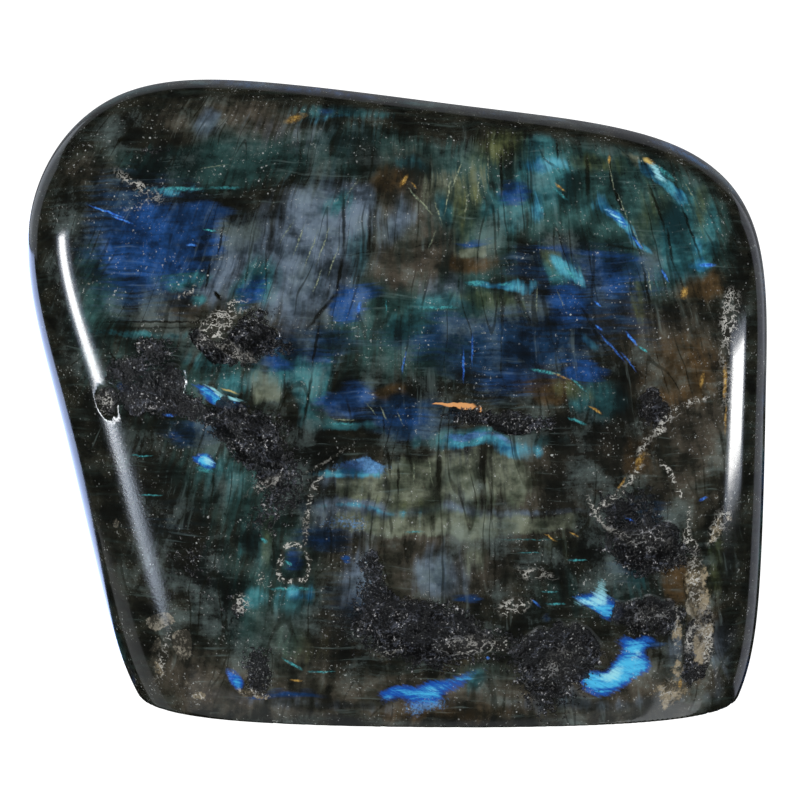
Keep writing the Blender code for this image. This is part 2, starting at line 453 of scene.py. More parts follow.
# Colours in the stone, from the deepest layer to the nearest. Each has two tones that mingle, the texture
# that runs through it, how soft its edges are, how square its patches are, and its patches on the face:
# across, down, half width, half height, turn in degrees clockwise, strength.
LAYERS = (
    ("dusky_teal", (36, 64, 62), (58, 96, 94), "fibres", 0.35, 2.0, (
        (225, 164, 44, 22, 0, 0.9), (300, 155, 70, 26, -8, 0.6), (420, 165, 60, 22, 4, 0.7),
        (560, 200, 66, 52, 0, 0.8), (650, 215, 74, 66, 20, 0.9), (96, 290, 32, 44, 0, 0.8),
        (150, 380, 90, 46, 0, 0.4), (220, 470, 60, 40, 20, 0.5), (330, 330, 110, 60, 0, 0.5),
        (440, 290, 60, 60, 0, 0.8), (440, 205, 46, 44, 0, 0.8), (265, 600, 60, 90, 0, 0.6),
        (600, 590, 90, 30, 0, 0.4),
        (150, 165, 70, 16, 0, 0.5), (470, 690, 40, 30, 0, 0.5),
    )),
    ("brown_haze", (52, 52, 44), (84, 78, 68), "fibres", 0.35, 2.0, (
        (240, 122, 74, 22, 4, 0.9), (410, 195, 40, 40, 10, 0.9), (415, 262, 52, 28, 0, 0.9),
        (200, 312, 58, 24, 0, 0.7), (680, 368, 60, 56, 20, 0.7), (500, 480, 120, 60, 0, 0.6),
        (420, 570, 100, 50, 0, 0.8), (285, 325, 40, 26, -30, 0.8), (90, 172, 34, 16, -10, 0.6),
        (650, 470, 60, 60, 0, 0.4), (620, 310, 40, 22, 0, 0.5), (700, 440, 36, 60, 0, 0.6),
        (390, 700, 190, 24, 0, 0.8), (650, 690, 80, 40, 0, 0.8), (200, 690, 60, 30, 0, 0.6),
        (300, 640, 50, 40, 0, 0.6), (170, 690, 60, 34, 0, 0.6),
    )),
    ("brown", (58, 48, 32), (88, 70, 46), "fibres", 0.3, 2.0, (
        (386, 182, 18, 16, 0, 0.9), (470, 264, 30, 11, 0, 0.9), (549, 387, 30, 14, 12, 1.0),
        (388, 391, 20, 8, 0, 0.8), (682, 372, 46, 34, 10, 0.8), (640, 455, 22, 34, 15, 0.6),
        (680, 580, 14, 20, 0, 0.9), (240, 700, 60, 12, 0, 0.5), (430, 715, 80, 9, 0, 0.6),
        (699, 286, 24, 16, 0, 0.9), (720, 640, 36, 60, 0, 0.4), (410, 655, 130, 18, 8, 0.4),
    )),
    ("deep_blue", (22, 40, 60), (30, 62, 96), "lamellae", 0.3, 2.0, (
        (150, 245, 66, 62, 12, 0.9), (300, 350, 44, 24, -20, 0.8), (455, 335, 66, 26, 0, 0.7),
        (590, 300, 70, 44, 10, 0.6), (600, 266, 70, 16, 0, 0.7), (405, 416, 50, 20, 0, 0.9),
        (520, 355, 60, 36, 0, 0.7), (200, 436, 34, 14, 0, 0.8), (640, 515, 34, 20, 10, 0.5),
        (320, 540, 22, 14, 0, 0.8), (350, 600, 34, 30, 0, 0.5), (150, 520, 60, 40, 0, 0.25),
    )),
    ("lavender_haze", (62, 76, 88), (110, 126, 144), "fibres", 0.3, 2.0, (
        (308, 250, 46, 58, 28, 0.95), (318, 220, 30, 30, 20, 0.5), (357, 207, 14, 20, 8, 0.6),
        (398, 220, 12, 18, 30, 0.8), (443, 293, 24, 18, 0, 0.6), (444, 572, 30, 30, 0, 0.75),
        (360, 570, 24, 34, 0, 0.45), (355, 590, 30, 26, 0, 0.3), (208, 124, 6, 14, 0, 0.8),
        (300, 300, 34, 22, -30, 0.7), (680, 655, 16, 40, 5, 0.45), (166, 575, 16, 50, -20, 0.2),
        (372, 507, 76, 7, 0, 0.7), (520, 510, 90, 5, 0, 0.5), (362, 478, 40, 16, 0, 0.7),
        (462, 474, 18, 30, 0, 0.6), (508, 470, 18, 26, 0, 0.5), (345, 520, 34, 12, 0, 0.6),
        (250, 130, 70, 30, 4, 0.2), (350, 140, 80, 20, 4, 0.25), (225, 270, 22, 50, 14, 0.6),
        (190, 290, 30, 20, 0, 0.3),
        (738, 665, 22, 44, 0, 0.5), (600, 706, 120, 10, 0, 0.4), (300, 706, 120, 10, 4, 0.4),
    )),
    ("olive_pale", (70, 78, 64), (120, 126, 108), "fibres", 0.14, 5.0, (
        (366, 484, 30, 18, 0, 0.8), (418, 481, 21, 25, 2, 0.95), (463, 476, 20, 28, 2, 0.7),
        (505, 474, 18, 26, 2, 0.7), (436, 523, 58, 10, 0, 0.8), (349, 523, 32, 10, 0, 0.6),
        (545, 521, 54, 8, 0, 0.7), (450, 190, 40, 30, 6, 0.6), (440, 296, 34, 20, 0, 0.4),
        (662, 200, 30, 34, 0, 0.35), (474, 252, 24, 6, 0, 0.7),
        (530, 474, 20, 26, 0, 0.4), (634, 158, 14, 6, 20, 0.6), (265, 390, 16, 15, 0, 0.9),
        (475, 560, 14, 34, 0, 0.5),
    )),
    ("teal", (34, 78, 86), (66, 130, 136), "fibres", 0.3, 2.0, (
        (252, 288, 19, 24, 15, 0.8), (182, 279, 22, 10, -8, 0.9), (197, 304, 13, 8, 0, 0.8),
        (320, 115, 30, 12, -6, 0.5), (370, 114, 26, 11, -4, 0.6), (541, 175, 24, 28, 10, 0.9),
        (512, 215, 16, 20, 0, 0.7), (600, 210, 50, 18, 6, 0.35), (360, 470, 40, 10, 0, 0.4),
        (676, 236, 24, 40, 14, 0.95), (703, 236, 13, 34, 12, 0.6), (544, 144, 10, 7, 0, 0.6),
        (300, 372, 34, 18, -10, 0.7), (315, 408, 14, 26, 0, 0.8), (342, 427, 32, 6, 2, 0.8),
        (597, 400, 26, 22, 10, 0.8), (482, 440, 70, 9, 2, 0.8), (400, 508, 96, 6, 0, 0.35),
        (250, 598, 12, 9, 10, 0.9), (292, 602, 26, 16, 0, 0.6), (255, 545, 18, 26, 0, 0.5),
        (562, 279, 22, 13, 22, 0.7), (442, 300, 24, 10, 0, 0.7), (405, 322, 20, 18, 0, 0.5),
        (140, 336, 44, 4, 1, 0.7), (199, 357, 26, 8, 0, 0.5), (228, 380, 24, 14, 0, 0.5),
        (632, 575, 26, 18, 0, 0.5), (470, 688, 12, 12, 0, 0.6), (288, 640, 20, 20, 0, 0.4),
        (355, 252, 16, 26, 8, 0.5), (410, 166, 24, 7, 4, 0.6), (221, 480, 24, 24, 20, 0.45),
        (440, 210, 9, 20, 0, 0.8), (487, 205, 12, 16, 0, 0.6), (335, 205, 12, 14, 0, 0.6),
    )),
    ("green_gold", (54, 66, 42), (108, 114, 74), "fibres", 0.3, 2.0, (
        (505, 150, 30, 22, 0, 0.6), (600, 165, 34, 10, 10, 0.6), (650, 215, 16, 34, 16, 0.55),
        (703, 215, 9, 30, 14, 0.6), (552, 268, 30, 12, 10, 0.5), (462, 204, 18, 40, 4, 0.6),
        (268, 545, 10, 30, 0, 0.5), (298, 640, 30, 26, 0, 0.4), (560, 545, 40, 20, 0, 0.35),
        (724, 560, 14, 40, 0, 0.4), (575, 390, 26, 12, 20, 0.5), (640, 300, 10, 26, -20, 0.4),
        (480, 296, 44, 8, 2, 0.5), (430, 500, 100, 5, 0, 0.4), (180, 400, 20, 40, 0, 0.2),
    )),
    ("cyan_glow", (36, 104, 146), (92, 182, 200), "fibres", 0.22, 2.0, (
        (664, 176, 20, 5, 42, 1.0), (682, 198, 14, 6, 52, 0.8), (545, 166, 22, 8, -6, 0.6),
        (536, 210, 9, 18, 4, 0.5), (622, 223, 20, 5, 42, 0.9), (640, 246, 14, 3.4, 52, 0.8),
        (692, 266, 14, 4, 0, 0.6), (690, 250, 9, 14, 12, 0.5), (572, 280, 22, 6, 36, 0.8),
        (466, 442, 22, 8, 0, 0.9), (516, 450, 26, 9, 4, 0.8), (352, 474, 36, 5, -2, 0.8),
        (370, 508, 60, 3, 0, 0.5),
        (500, 286, 34, 3, 2, 0.7), (292, 597, 28, 8, 0, 0.5), (252, 545, 8, 16, 0, 0.4),
        (204, 394, 10, 6, 16, 0.5), (186, 279, 22, 5, -8, 0.5), (255, 286, 14, 14, 10, 0.4),
        (590, 345, 16, 5, 40, 0.5), (176, 190, 40, 4, -1, 0.5), (336, 122, 30, 4, -6, 0.4),
        (598, 204, 8, 14, -10, 0.4), (560, 310, 12, 10, 10, 0.4), (640, 556, 16, 12, 20, 0.4),
    )),
    ("royal_blue", (24, 52, 90), (36, 82, 146), "lamellae", 0.25, 2.0, (
        (158, 236, 44, 26, 8, 0.9), (176, 211, 46, 10, 0, 0.8), (140, 265, 40, 28, 12, 0.65),
        (207, 211, 16, 10, 0, 0.8), (252, 294, 13, 15, 10, 0.8), (346, 309, 20, 13, -4, 1.0),
        (360, 289, 24, 8, 2, 0.8), (513, 197, 16, 13, 0, 0.9), (567, 310, 24, 20, 20, 0.8),
        (612, 279, 32, 16, 8, 0.6), (584, 258, 56, 5, 2, 0.7), (345, 396, 26, 14, -22, 1.0),
        (583, 370, 20, 10, 6, 0.9), (278, 366, 14, 6, 4, 0.9), (131, 394, 9, 6, 30, 0.9),
        (470, 604, 16, 5, 4, 1.0), (310, 351, 24, 12, 30, 0.5), (297, 696, 28, 6, 0, 0.7),
        (508, 380, 30, 12, 10, 0.5), (400, 415, 44, 10, 0, 0.5), (172, 438, 8, 5, 0, 0.7),
        (330, 116, 12, 8, 0, 0.5), (645, 640, 24, 5, 3, 0.9), (319, 541, 12, 4, 0, 0.6),
        (341, 562, 6, 5, 0, 0.8), (293, 564, 8, 12, 0, 0.7), (626, 570, 18, 14, 0, 0.5),
        (545, 619, 10, 6, 0, 0.5),
        (473, 243, 22, 4, 0, 0.7), (260, 700, 14, 3, 0, 0.7), (215, 240, 10, 8, 0, 0.5),
    )),
    ("blue_edge", (60, 96, 150), (100, 154, 204), "grain", 0.2, 2.0, (
        (366, 466, 26, 4, -2, 0.9), (370, 472, 24, 3, -2, 0.6), (462, 438, 18, 4, 0, 0.9),
        (502, 441, 18, 4, 4, 0.7), (344, 524, 30, 8, 0, 0.45), (425, 706, 24, 11, -6, 0.6),
    )),
)
# Dark cracks and dim spots
CRACKS = (
    # across, down, half width, half length, turn in degrees clockwise from upright, strength
    (222, 240, 2.0, 26, 14, 0.9), (209, 277, 2.0, 22, 14, 0.9), (250, 262, 1.8, 40, 14, 0.7),
    (267, 270, 1.4, 34, 2, 0.7), (344, 222, 2.4, 42, 0, 0.9), (340, 276, 2.6, 26, 12, 0.8),
    (322, 312, 3.0, 34, 42, 0.8), (316, 346, 2.2, 30, 8, 0.9), (308, 400, 2.4, 38, 6, 0.9),
    (285, 392, 1.8, 32, 0, 0.7), (370, 225, 2.4, 34, 4, 0.6), (430, 175, 2.0, 30, 4, 0.6),
    (452, 230, 2.0, 40, 8, 0.5), (501, 176, 2.0, 34, -2, 0.9), (498, 222, 1.8, 20, 2, 0.6),
    (557, 150, 1.8, 14, -3, 0.8), (587, 176, 3.2, 34, -2, 0.9), (610, 170, 1.8, 22, -4, 0.8),
    (617, 200, 2.0, 26, -22, 0.8), (634, 240, 2.2, 26, -24, 0.8), (646, 290, 2.2, 34, -14, 0.8),
    (656, 205, 2.0, 34, -18, 0.9), (669, 246, 2.2, 26, -8, 0.8), (690, 230, 2.0, 40, -16, 0.8),
    (560, 240, 2.2, 30, -8, 0.5), (593, 330, 2.4, 40, -26, 0.7), (540, 250, 1.6, 26, -4, 0.4),
    (389, 462, 2.2, 22, -10, 0.8), (398, 480, 1.8, 24, -4, 0.9), (439, 470, 4.2, 34, 0, 0.85),
    (484, 468, 2.6, 34, -4, 0.7), (492, 500, 2.0, 40, 0, 0.6), (391, 526, 2.4, 12, 0, 0.7),
    (433, 524, 3.4, 12, 0, 0.6), (449, 524, 3.4, 12, 0, 0.5), (331, 545, 2.0, 30, 0, 0.7),
    (495, 565, 1.6, 34, 0, 0.6), (405, 545, 2.0, 18, 0, 0.6), (384, 425, 1.4, 18, 2, 0.6),
    (540, 475, 3.0, 30, 4, 0.5), (462, 280, 1.6, 26, 4, 0.5), (425, 290, 1.8, 24, 10, 0.4),
    (218, 296, 2.6, 8, -36, 1.0), (160, 322, 1.6, 76, 90, 0.8), (150, 328, 1.8, 66, 90, 0.7),
    (230, 330, 2.4, 30, 76, 0.6), (112, 356, 1.8, 7, -36, 0.9), (108, 378, 1.4, 8, -20, 0.8),
    (515, 250, 1.4, 40, 90, 0.5), (430, 245, 1.4, 30, 84, 0.5), (358, 255, 1.2, 14, 84, 0.5),
    (290, 182, 5.0, 26, 60, 0.6), (300, 145, 4.0, 30, 76, 0.5), (566, 336, 1.6, 26, 88, 0.5),
    (620, 248, 2.0, 26, 96, 0.6), (510, 433, 3.0, 40, 92, 0.7), (366, 160, 22, 30, 0, 0.6),
)
# Thin lines of colour: two tones, how soft they are, and places as in LAYERS
LINES = (
    ("blue_lines", (44, 92, 210), (84, 160, 240), 0.9, (
        (108, 212, 25, 1.5, 24, 1.0), (122, 220, 14, 1.6, 24, 1.0), (664, 276, 9, 1.8, 55, 0.9),
        (631, 339, 11, 1.9, 48, 1.0), (598, 328, 6, 1.6, 45, 0.9), (597, 305, 5, 1.6, 45, 0.8),
        (637, 244, 11, 1.9, 48, 0.9), (631, 521, 10, 1.8, 30, 0.8), (706, 500, 6, 1.8, -15, 0.9),
        (463, 366, 1.6, 20, 4, 0.6), (472, 350, 1.5, 20, 4, 0.5), (404, 362, 1.5, 14, 8, 0.4),
        (692, 677, 2.4, 2.4, 0, 0.6), (489, 660, 2.4, 2, 0, 0.9), (193, 246, 7, 2, 4, 0.7),
        (169, 415, 9, 2.4, 0, 0.6), (707, 265, 11, 2.6, 2, 1.0), (536, 604, 8, 1.6, 40, 0.5),
        (614, 350, 20, 1.4, 46, 0.5), (628, 362, 16, 1.3, 50, 0.5), (606, 342, 14, 1.2, 50, 0.4),
        (230, 683, 5, 13, -32, 1.0), (359, 308, 3, 8, 8, 0.6), (615, 611, 9, 3, -14, 1.0),
    )),
    ("pale_lines", (92, 108, 98), (172, 180, 148), 0.95, (
        (448, 196, 1.2, 26, 12, 0.8), (456, 178, 1.2, 20, 18, 0.8), (438, 214, 1.2, 16, -20, 0.7),
        (424, 206, 1.2, 18, -35, 0.7), (414, 196, 1.2, 12, -35, 0.8), (466, 206, 1.2, 20, 8, 0.6),
        (478, 188, 1.2, 24, 6, 0.6), (488, 170, 1.2, 18, 4, 0.6), (432, 240, 1.2, 14, 20, 0.5),
        (300, 240, 1.2, 24, 24, 0.7), (312, 250, 1.2, 28, 22, 0.7), (324, 246, 1.2, 26, 20, 0.7),
        (288, 232, 1.2, 18, 26, 0.5), (334, 262, 1.2, 22, 18, 0.6), (318, 282, 1.2, 16, 24, 0.6),
        (352, 190, 1.2, 14, 40, 0.5), (611, 176, 1.0, 20, -10, 0.7), (622, 208, 1.0, 18, -25, 0.7),
        (637, 240, 1.0, 18, -28, 0.7), (648, 280, 1.0, 22, -14, 0.6), (690, 190, 1.2, 16, -30, 0.5),
        (384, 414, 1.1, 12, -30, 0.5), (370, 408, 1.1, 12, -40, 0.5), (400, 418, 1.1, 10, -16, 0.5),
        (345, 420, 14, 1.1, 0, 0.6), (215, 168, 18, 1.0, -10, 0.4), (560, 300, 1.0, 14, -20, 0.5),
        (430, 470, 1.0, 20, -6, 0.5), (414, 474, 1.0, 16, 4, 0.4), (536, 300, 1.0, 18, 4, 0.4),
    )),
    ("teal_lines", (42, 112, 124), (84, 178, 180), 0.9, (
        (180, 190, 30, 2.6, -1, 0.9), (226, 189, 20, 2.4, -2, 0.4), (211, 231, 8, 1.6, 8, 1.0),
        (438, 308, 24, 2.4, 2, 0.8), (569, 274, 13, 2.0, 48, 0.9), (643, 350, 7, 1.8, 42, 1.0),
        (475, 284, 12, 3.2, 2, 0.9), (505, 285, 9, 1.6, 2, 0.6), (139, 456, 15, 1.3, -3, 0.7),
        (148, 496, 16, 1.2, -4, 0.6), (414, 532, 12, 1.6, 0, 0.7), (292, 590, 30, 2.6, 1, 0.7),
        (545, 372, 20, 2.4, 8, 0.8), (578, 385, 14, 1.8, 40, 0.6), (288, 564, 6, 2.0, 35, 1.0),
        (578, 561, 12, 1.4, 2, 0.8), (556, 605, 12, 1.8, -3, 0.8), (550, 593, 10, 1.2, -2, 0.6),
        (264, 541, 5, 3, 30, 0.9), (291, 667, 14, 2.2, 30, 0.8), (320, 675, 18, 1.6, 0, 0.6),
        (530, 553, 15, 1.0, 0, 0.4), (577, 421, 12, 2.2, 24, 0.9), (345, 424, 20, 1.4, 3, 0.6),
        (560, 195, 12, 1.8, 42, 0.6), (665, 172, 16, 3.6, 44, 0.6), (386, 307, 1.4, 9, 4, 0.5),
        (612, 215, 9, 1.8, 34, 0.7), (204, 470, 12, 3.2, 6, 0.7), (530, 540, 40, 1.0, 2, 0.3),
    )),
    ("gold_lines", (150, 112, 50), (214, 176, 96), 0.9, (
        (404, 182, 3.4, 9, 30, 0.8), (650, 161, 8, 4.2, 34, 1.0), (609, 159, 2.2, 6, 0, 0.9),
        (559, 188, 9, 1.6, 40, 0.8), (595, 410, 10, 1.6, 28, 1.0), (727, 382, 3, 22, 0, 0.8),
        (728, 420, 2, 20, 0, 0.5), (703, 380, 3, 12, 6, 0.5), (684, 293, 5, 8, 10, 0.7),
        (295, 684, 8, 1.8, -3, 0.7), (640, 462, 5, 14, 18, 0.35), (685, 690, 3.2, 7, 0, 0.9),
        (551, 538, 9, 1.4, 30, 0.8), (575, 535, 7, 1.2, 30, 0.6), (622, 484, 12, 2, -55, 0.4),
        (414, 187, 6, 1.4, 50, 0.5), (560, 376, 14, 1.6, 20, 0.5), (296, 118, 16, 5, -20, 0.35),
    )),
)
# Bright flashes: across, down, half width, half height, turn, strength
FLASH_BLUE = (
    (598, 685, 10, 8, -30, 0.9), (616, 676, 20, 12, -22, 1.0), (634, 664, 13, 11, -10, 0.9),
    (637, 650, 12, 14, 14, 0.8),
    (640, 638, 20, 6, 0, 0.7), (606, 602, 17, 8, 14, 0.9), (603, 596, 10, 8, -40, 0.6),
    (618, 612, 8, 4, 0, 0.5),
    (217, 397, 26, 5, 18, 0.9), (204, 466, 11, 7, 10, 1.0), (428, 690, 40, 8, -14, 0.75),
    (394, 694, 17, 5, -2, 0.7),
    (424, 702, 22, 9, -8, 0.4), (620, 221, 11, 3.4, 40, 0.9), (230, 683, 5, 11, -32, 0.9),
)
FLASH_PALE = (
    (614, 672, 15, 8, -22, 0.9), (640, 652, 8, 10, 10, 0.7), (599, 600, 15, 5, -20, 0.9),
    (605, 590, 6, 8, 20, 0.8),
    (224, 393, 20, 2.6, 18, 1.0), (209, 466, 8, 4, 6, 0.9), (618, 220, 12, 2.4, 40, 0.9),
    (662, 172, 13, 3.4, 42, 1.0),
    (436, 689, 16, 4, -14, 0.5),
)
# Where the stone stays dark, and where pale crumbs fill it
DARK = (
    (112, 118, 42, 28, 0, 0.9), (177, 165, 44, 20, 0, 1.0), (360, 155, 20, 16, 0, 1.0),
    (580, 246, 60, 13, 0, 0.8),
    (205, 572, 28, 60, -8, 1.0), (150, 520, 30, 50, 0, 0.6), (560, 432, 60, 15, 0, 0.8),
    (470, 384, 96, 8, 0, 0.7),
    (300, 470, 34, 56, 0, 0.9), (640, 425, 40, 40, 0, 0.8), (752, 250, 26, 130, 0, 0.8),
    (756, 500, 20, 150, 0, 0.7),
    (628, 372, 34, 24, 0, 0.7), (560, 560, 74, 44, 0, 0.7), (226, 640, 26, 34, 0, 0.5),
    (332, 640, 30, 36, 0, 0.6),
    (60, 300, 26, 150, 0, 0.9), (400, 630, 110, 40, 0, 0.8), (640, 560, 60, 60, 0, 0.7),
    (560, 650, 60, 40, 0, 0.6),
    (250, 225, 24, 40, 20, 0.6), (262, 170, 50, 24, 0, 0.5), (300, 155, 60, 16, -6, 0.6),
    (160, 450, 60, 50, 0, 0.5),
    (590, 420, 26, 40, 0, 0.5), (325, 440, 16, 40, 0, 0.6), (745, 640, 24, 80, 0, 0.6),
    (392, 478, 5, 34, -6, 0.8), (441, 476, 6, 36, 0, 0.8), (486, 470, 5, 36, 0, 0.7),
    (560, 480, 16, 34, 0, 0.8),
    (430, 500, 110, 2.5, 0, 0.5), (440, 545, 120, 8, 0, 0.4), (293, 567, 9, 14, 0, 0.7),
    (344, 452, 30, 6, -30, 0.7), (600, 470, 40, 56, 0, 0.6),
    (420, 390, 24, 12, 0, 0.5), (300, 320, 40, 14, -30, 0.6), (500, 565, 12, 40, 0, 0.6),
    (700, 330, 30, 30, 0, 0.4),
)
TAN = (
    (706, 598, 12, 26, -12, 1.0), (714, 646, 11, 26, 8, 0.9), (672, 694, 13, 20, 4, 1.0),
    (700, 572, 8, 16, -10, 0.8),
    (722, 528, 11, 18, 16, 0.7), (148, 672, 6, 26, 8, 0.5), (250, 696, 20, 5, 8, 0.8),
    (190, 697, 9, 6, 0, 0.9), (690, 700, 10, 12, 0, 0.6), (684, 640, 6, 30, 0, 0.5),
    (640, 460, 8, 18, 25, 0.4),
)
# Where the polish was brushed
BRUSHED = ((140, 520, 44, 130, -16, 1.0),)
# A small oval with a crumbly edge: across, down, half width, half height
OVAL = (293, 567, 12.5, 18.5)
FLASH_GOLD = ((648, 160, 7, 3.4, 30, 1.0), (230, 391, 12, 1.4, 16, 0.7))
# Black mica, which also carries painted glints and a painted grey sheen
MICA = (
    # across, down, half width, half height, turn, strength
    (158, 351, 17, 14, 0, 0.9), (131, 372, 22, 12, -8, 1.0), (154, 402, 26, 20, 20, 1.0),
    (190, 410, 22, 11, 10, 1.0), (262, 348, 26, 15, 8, 1.0), (240, 335, 34, 12, -34, 1.0),
    (214, 345, 30, 7, 24, 0.9), (236, 432, 34, 17, 24, 1.0), (262, 466, 36, 22, 58, 1.0),
    (276, 430, 26, 16, 30, 0.6), (104, 402, 9, 13, 0, 1.0), (418, 634, 74, 30, 8, 1.0),
    (382, 610, 40, 20, 50, 1.0), (373, 564, 13, 16, -30, 1.0), (552, 678, 44, 40, -14, 0.9),
    (560, 652, 44, 14, 4, 0.7), (652, 548, 42, 20, 8, 1.0), (660, 562, 30, 14, -8, 1.0),
    (662, 615, 36, 17, 3, 1.0), (656, 404, 15, 19, -20, 1.0), (508, 421, 48, 10, 1, 0.95),
    (628, 508, 30, 22, 12, 0.8), (258, 672, 18, 28, -8, 1.0), (234, 605, 12, 10, 0, 0.7),
    (190, 560, 34, 60, -16, 0.45), (540, 570, 34, 12, 0, 0.35), (470, 410, 40, 10, 4, 0.6),
    (268, 520, 26, 24, 0, 0.6), (708, 660, 14, 26, 4, 0.4), (300, 480, 22, 26, 0, 0.5),
    (545, 455, 16, 30, 0, 0.3), (160, 155, 26, 12, 0, 0.5),
)
# Crumbly white seams, along which sparse painted glints lie: across, down, half length, half width, turn,
# strength
SEAMS = (
    (222, 322, 28, 5.5, -38, 1.0), (226, 345, 30, 4.5, 30, 1.0), (240, 312, 12, 4, -20, 1.0),
    (140, 186, 26, 6, 26, 0.6), (136, 203, 20, 3, -4, 0.5), (104, 404, 10, 14, 0, 0.7),
    (700, 400, 18, 3.4, -12, 0.7), (671, 417, 20, 4, -44, 0.9), (646, 444, 16, 3, -60, 0.6),
    (628, 484, 24, 3.2, -52, 0.9), (612, 503, 10, 3.5, -40, 0.8), (668, 478, 18, 3, 62, 0.9),
    (682, 499, 14, 2.2, 48, 0.9), (690, 520, 18, 2.0, 88, 0.8), (696, 548, 18, 2.8, 66, 0.9),
    (700, 578, 18, 5, 76, 0.9), (722, 526, 22, 8, -70, 0.8), (711, 596, 28, 9, 60, 0.4),
    (712, 645, 14, 20, 10, 0.4), (719, 655, 4, 30, 8, 0.8), (700, 640, 5, 22, 20, 0.7),
    (671, 694, 12, 18, 10, 0.5), (682, 640, 3, 34, 0, 0.5), (600, 505, 16, 2.5, 62, 0.7),
    (616, 528, 20, 2.5, 42, 0.6), (470, 646, 34, 10, 12, 0.6), (498, 647, 6, 7, -30, 0.9),
    (514, 607, 14, 7, -34, 0.9), (540, 573, 20, 6, 4, 0.6),
    (254, 694, 20, 4, 10, 0.9), (152, 668, 5, 30, 12, 0.7), (190, 697, 9, 6, 0, 0.8),
    (262, 488, 22, 5, -28, 0.7), (236, 602, 10, 8, 0, 0.8), (262, 578, 5, 8, 0, 0.8),
    (730, 306, 7, 16, 8, 0.8), (734, 336, 8, 16, 4, 0.7), (730, 385, 14, 60, 0, 0.35),
    (185, 292, 18, 2.4, -44, 0.7), (318, 490, 14, 3, -62, 0.8), (310, 512, 16, 2.2, -80, 0.7),
    (304, 536, 14, 2.6, 90, 0.8), (330, 462, 30, 1.6, -32, 0.5), (558, 668, 30, 20, -20, 0.35),
    (380, 652, 20, 3, 0, 0.5), (655, 545, 34, 12, 6, 0.35), (660, 612, 32, 11, 4, 0.35),
)
# Pale flat flakes with square corners
FLAKE_SQUARENESS = 4.0
FLAKES = (
    (150, 628, 13, 9, -24, 0.9), (172, 652, 10, 10, -14, 1.0), (112, 523, 8, 6, -30, 0.7),
    (176, 682, 20, 16, -70, 0.5),
    (142, 660, 8, 14, 10, 0.6), (706, 590, 12, 18, 10, 0.6), (724, 520, 9, 14, 20, 0.6),
    (712, 655, 12, 24, 6, 0.6),
    (672, 696, 9, 15, 4, 0.6), (698, 612, 8, 12, -20, 0.5),
)
SCRATCH = (
    (440, 404, 9, 1.3, 0, 1.0), (458, 405, 18, 2.4, 0, 1.0), (466, 407, 11, 2.6, 0, 1.0),
    (479, 409, 3, 4, 0, 1.0),
)
# What the mesh carries besides the layers, the seams and the flakes
PATCHES = {
    "flash": FLASH_BLUE,
    "flash_core": FLASH_PALE,
    "mica": MICA,
    "dark": DARK,
    "tan": TAN,
    "brushed": BRUSHED,
}
# The panels that the polish mirrors: name, top and bottom in mm, width in mm, brightness, colour
PANELS = (
    ("left_strip", (-504, -217, 127), (-469, -276, -103), 54, 22, (1.0, 1.0, 1.0)),
    ("left_fringe", (-504, -217, 135), (-469, -276, -103), 110, 2.6, (0.62, 0.76, 1.0)),
    ("left_low_panel", (-474, -268, -108), (-445, -315, -166), 66, 6.0, (0.7, 0.82, 1.0)),
    ("left_low_edge", (-487, -246, -106), (-458, -290, -140), 24, 6.0, (0.86, 0.92, 1.0)),
    ("right_strip", (530, -148, 10), (530, -148, -42), 130, 24, (1.0, 1.0, 1.0)),
    ("right_fringe", (530, -148, 30), (530, -148, -58), 180, 3.0, (0.72, 0.82, 1.0)),
    ("left_back_panel", (-240, 380, 0), (-240, 380, -165), 560, 3.4, (0.5, 0.62, 1.0)),
    ("right_back_panel", (350, 230, 190), (350, 230, -220), 220, 0.5, (0.8, 0.84, 1.0)),
    ("left_upper_panel", (-350, 260, 240), (-350, 260, 10), 320, 0.6, (0.8, 0.88, 1.0)),
    ("back_panel", (0, 400, 430), (0, 400, -60), 1000, 0.2, (0.86, 0.9, 1.0)),
    ("low_panel", (0, -310, -230), (0, -130, -350), 700, 0.4, (0.84, 0.92, 1.0)),
    ("low_right_panel", (258, -181, -201), (154, -108, -308), 170, 1.5, (0.92, 0.96, 1.0)),
    ("low_left_panel", (-370, 60, -125), (-256, 60, -281), 160, 0.4, (0.92, 0.96, 1.0)),
)


def marks(finish, places, spots, soft):
    """How much fine marks cover each point: ellipses with eased edges, turns and strengths in whole steps."""
    nearest = {}
    for across, down, half_wide, half_high, degrees, strength in spots:
        degrees = (TURN_STEP * round(degrees / TURN_STEP) + 90) % 180 - 90
        if degrees not in places:
            places[degrees] = finish.turned(places[0], degrees)
        turn = math.radians(degrees)
        along = across * math.cos(turn) + down * math.sin(turn)
        aside = down * math.cos(turn) - across * math.sin(turn)
        size = (1 / half_wide, 1 / half_high, 0)
        middle = (-along / half_wide, -aside / half_high, 0)
        near = finish.vector("MULTIPLY_ADD", places[degrees], size, middle)
        away = finish.vector("LENGTH", near, out="Value")
        level = round(strength / STRENGTH_STEP) * STRENGTH_STEP
        nearest[level] = nearest[level].smaller(away) if level in nearest else away
    cover = None
    for level, away in nearest.items():
        spot = finish.spread(away, 1.0, 1.0 - soft, 0.0, level)
        cover = spot if cover is None else cover.larger(spot)
    return cover


